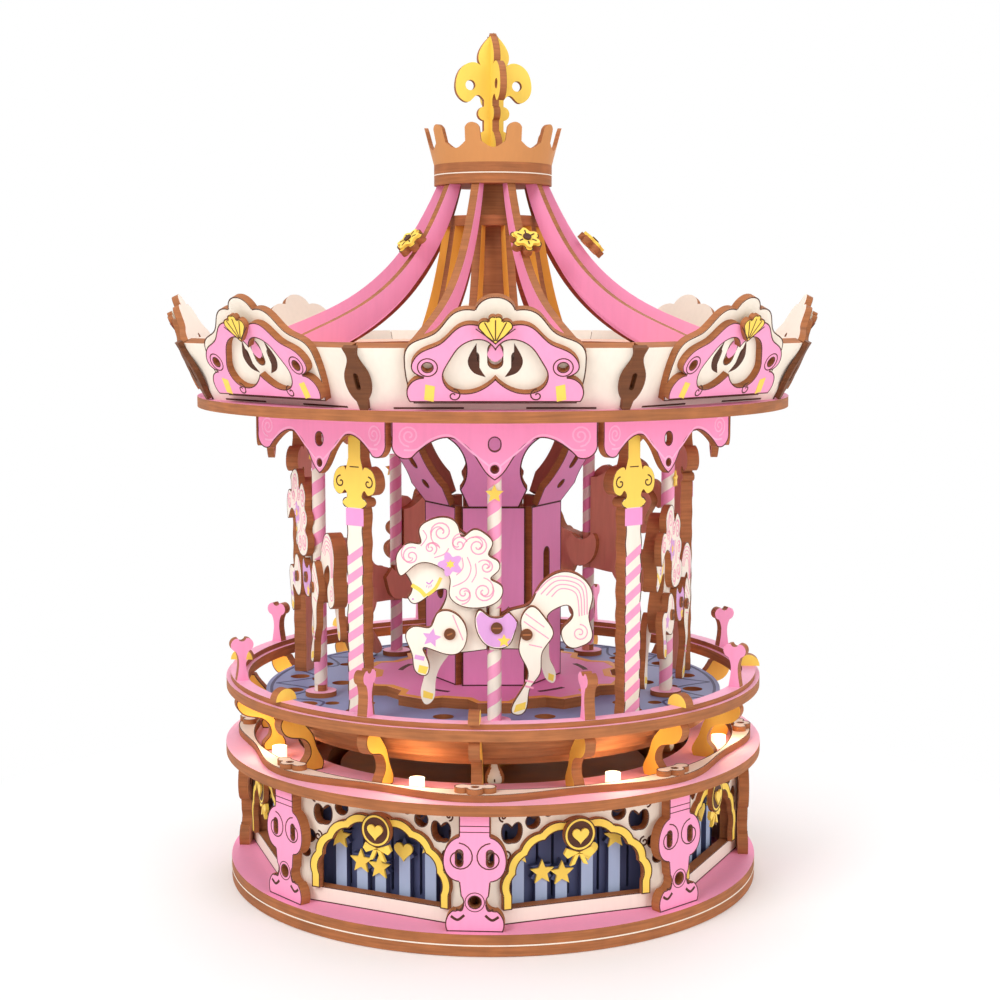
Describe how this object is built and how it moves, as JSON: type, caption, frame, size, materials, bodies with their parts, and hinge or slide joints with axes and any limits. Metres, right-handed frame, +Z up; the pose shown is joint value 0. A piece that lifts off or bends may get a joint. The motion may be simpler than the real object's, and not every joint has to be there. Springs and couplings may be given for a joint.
{
  "type": "carousel music box",
  "caption": "Tabletop carousel music box of cut plywood: a wind-up movement in a windowed drum turns a platform of horses under a ribbed canopy with crests and a crown.",
  "frame": {"origin": "centre of the base disc's underside", "axes": "+Z up the turning axis, the front pilaster faces -Y"},
  "size_m": [0.1946, 0.1946, 0.2515],
  "materials": {
    "pink_ply": "painted plywood",
    "cream_ply": "painted plywood",
    "gold_ply": "painted plywood",
    "bare_ply": "laser-cut plywood",
    "slate_ply": "painted plywood",
    "orange_ply": "painted plywood",
    "copper_card": "painted veneer",
    "brass": "polished",
    "steel": "satin",
    "lamp": "frosted",
    "black_plastic": "moulded",
    "cell": "gloss"
  },
  "bodies": {
    "base": {"base_disc_lower": "bare_ply", "base_disc_upper": "pink_ply", "battery_box": "black_plastic", "battery_cells": "cell", "bearing_board": "bare_ply", "board_pillars": "bare_ply", "cam_ring": "bare_ply", "centre_bearing": "brass", "deck_trim_ring": "cream_ply", "drum_panels": "cream_ply", "lamps": "lamp", "mid_deck": "pink_ply", "movement_bedplate": "steel", "movement_screws": "steel", "organ_pipes": "slate_ply", "pilasters": "pink_ply", "rail_finials": "pink_ply", "rail_knobs": "gold_ply", "rail_rings": "pink_ply", "scroll_brackets": "gold_ply", "spring_barrel": "brass", "switch_housing": "black_plastic", "tone_comb": "steel", "window_trims": "gold_ply"},
    "turntable": {"drive_shaft": "steel", "hub_disc": "pink_ply", "platform_under_ring": "bare_ply", "platform_disc": "slate_ply", "platform_star": "pink_ply", "pole_bushes": "bare_ply", "column_panels": "pink_ply", "capital_brackets": "pink_ply", "posts_front": "gold_ply", "posts_back": "bare_ply", "canopy_disc": "pink_ply", "valance_panels": "pink_ply", "canopy_panels": "cream_ply", "crest_plates": "cream_ply", "crest_overlays": "pink_ply", "crest_shells": "gold_ply", "joint_battens": "bare_ply", "rim_ring": "bare_ply", "roof_ribs": "pink_ply", "inner_ribs": "orange_ply", "rib_collar": "bare_ply", "rib_flowers": "gold_ply", "mast": "bare_ply", "crown_ring": "bare_ply", "crown_band": "copper_card", "top_finial": "gold_ply"},
    "governor_fly_body": {"governor_fly": "brass"},
    "great_wheel_body": {"great_wheel": "brass"},
    "horse_1_body": {"horse_1": "cream_ply"},
    "horse_2_body": {"horse_2": "cream_ply"},
    "horse_3_body": {"horse_3": "cream_ply"},
    "horse_4_body": {"horse_4": "cream_ply"},
    "horse_5_body": {"horse_5": "cream_ply"},
    "music_cylinder_body": {"music_cylinder": "brass"},
    "switch_slider_body": {"switch_slider": "black_plastic"},
    "winding_key_body": {"winding_key": "brass"}
  },
  "joints": [
    {"name": "turntable_spin", "type": "hinge", "parent": "base", "child": "turntable", "pos_m": [0, 0, 0.03], "axis": [0, 0, 1], "continuous": true},
    {"name": "great_wheel_spin", "type": "hinge", "parent": "base", "child": "great_wheel_body", "pos_m": [-0.018, 0, 0.0225], "axis": [0, 0, 1], "continuous": true},
    {"name": "cylinder_spin", "type": "hinge", "parent": "base", "child": "music_cylinder_body", "pos_m": [-0.009, 0.0155, 0.0136], "axis": [1, 0, 0], "continuous": true},
    {"name": "governor_spin", "type": "hinge", "parent": "base", "child": "governor_fly_body", "pos_m": [0.0115, -0.0066, 0.012], "axis": [0, 0, 1], "continuous": true},
    {"name": "key_turn", "type": "hinge", "parent": "base", "child": "winding_key_body", "pos_m": [-0.018, 0, 0.004], "axis": [0, 0, -1], "range_deg": [0, 1800]},
    {"name": "switch_slide", "type": "slide", "parent": "base", "child": "switch_slider_body", "axis": [1, 0, 0], "range_m": [0, 0.003]},
    {"name": "horse_1_ride", "type": "slide", "parent": "turntable", "child": "horse_1_body", "axis": [0, 0, 1], "range_m": [-0.00288, 0.00912]},
    {"name": "horse_2_ride", "type": "slide", "parent": "turntable", "child": "horse_2_body", "axis": [0, 0, 1], "range_m": [-0.00288, 0.00912]},
    {"name": "horse_3_ride", "type": "slide", "parent": "turntable", "child": "horse_3_body", "axis": [0, 0, 1], "range_m": [-0.0108, 0.0012]},
    {"name": "horse_4_ride", "type": "slide", "parent": "turntable", "child": "horse_4_body", "axis": [0, 0, 1], "range_m": [0, 0.012]},
    {"name": "horse_5_ride", "type": "slide", "parent": "turntable", "child": "horse_5_body", "axis": [0, 0, 1], "range_m": [-0.0108, 0.0012]}
  ],
  "couplings": [
    {"joint": "great_wheel_spin", "follows": "turntable_spin", "ratio": -0.5},
    {"joint": "cylinder_spin", "follows": "turntable_spin", "ratio": 2},
    {"joint": "governor_spin", "follows": "turntable_spin", "ratio": 24}
  ]
}
